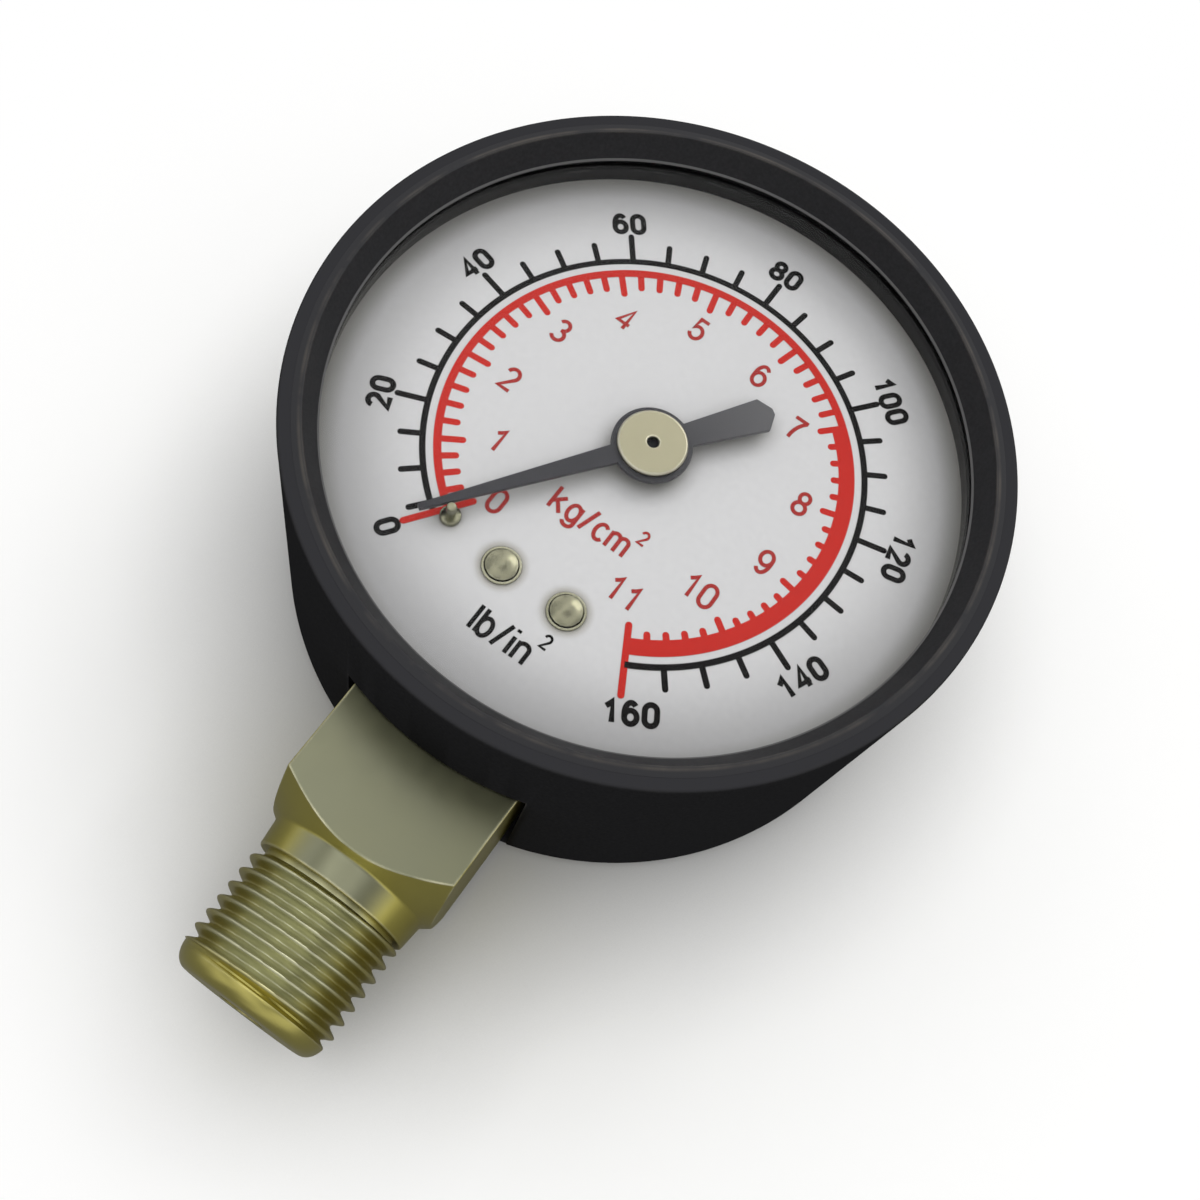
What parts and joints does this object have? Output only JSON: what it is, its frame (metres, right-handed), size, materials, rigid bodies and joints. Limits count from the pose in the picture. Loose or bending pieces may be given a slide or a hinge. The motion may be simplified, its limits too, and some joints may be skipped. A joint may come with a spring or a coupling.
{
  "type": "pressure gauge",
  "caption": "Round dial pressure gauge with a black case, clear window, white dual scale dial and a brass threaded stem below, driven by a Bourdon tube and a geared movement.",
  "frame": {"origin": "centre of the case's back face, on the dial's axis", "axes": "+Z out of the dial, -Y along the stem to its thread, +X to the right of the dial"},
  "size_m": [0.0408, 0.0567, 0.0201],
  "materials": {
    "case_black": "satin moulded black",
    "bezel_black": "satin moulded black",
    "window_clear": "clear polished",
    "gasket_rubber": "matt black",
    "dial_white": "matt white lacquer",
    "print_black": "matt black ink",
    "print_red": "matt red ink",
    "pointer_slate": "satin slate lacquer",
    "pale_brass": "pale plated, satin",
    "stem_brass": "machined, slightly dull",
    "movement_brass": "stamped and turned",
    "spring_bronze": "drawn, satin",
    "steel": "turned"
  },
  "bodies": {
    "gauge": {"case": "case_black", "bezel": "bezel_black", "window": "window_clear", "window_gasket": "gasket_rubber", "dial_ring": "bezel_black", "dial": "dial_white", "dial_screws": "pale_brass", "dial_posts": "movement_brass", "stop_pin": "pale_brass", "hairspring": "spring_bronze", "hairspring_stud": "movement_brass", "bourdon_tube": "spring_bronze", "movement_back_plate": "movement_brass", "movement_front_plate": "movement_brass", "movement_pillars": "movement_brass", "plate_screws": "steel", "movement_screws": "steel", "socket": "stem_brass", "restrictor": "pale_brass", "case_screws": "steel"},
    "pointer": {"pointer": "pointer_slate", "pointer_hub": "pale_brass", "pinion": "steel", "hairspring_collet": "movement_brass"},
    "sector": {"sector_gear": "movement_brass", "sector_arbor": "steel", "link_pin": "steel"},
    "tip": {"tube_tip": "movement_brass", "tip_pin": "steel"},
    "link": {"link": "movement_brass"}
  },
  "joints": [
    {"name": "pointer_turn", "type": "hinge", "parent": "gauge", "child": "pointer", "pos_m": [0, 0, 0.0161], "axis": [0, 0, 1], "range_deg": [-297, 0], "stiffness_Nm_per_rad": 0.000002, "springref_deg": 5.73, "deforming": ["hairspring"]},
    {"name": "sector_turn", "type": "hinge", "parent": "gauge", "child": "sector", "pos_m": [0.00413, -0.00714, 0.0121], "axis": [0, 0, 1], "range_deg": [0, 29.75]},
    {"name": "tip_flex", "type": "hinge", "parent": "gauge", "child": "tip", "pos_m": [-0.00217, 0.00399, 0.0064], "axis": [0, 0, 1], "range_deg": [0, 7.63], "deforming": ["bourdon_tube"]},
    {"name": "link_turn", "type": "hinge", "parent": "tip", "child": "link", "pos_m": [0.01, -0.00443, 0.0128], "axis": [0, 0, 1], "range_deg": [-8.35, 0]}
  ],
  "couplings": [
    {"joint": "sector_turn", "follows": "pointer_turn", "ratio": -0.1},
    {"joint": "tip_flex", "follows": "pointer_turn", "ratio": -0.025512},
    {"joint": "link_turn", "follows": "pointer_turn", "ratio": 0.027943}
  ]
}
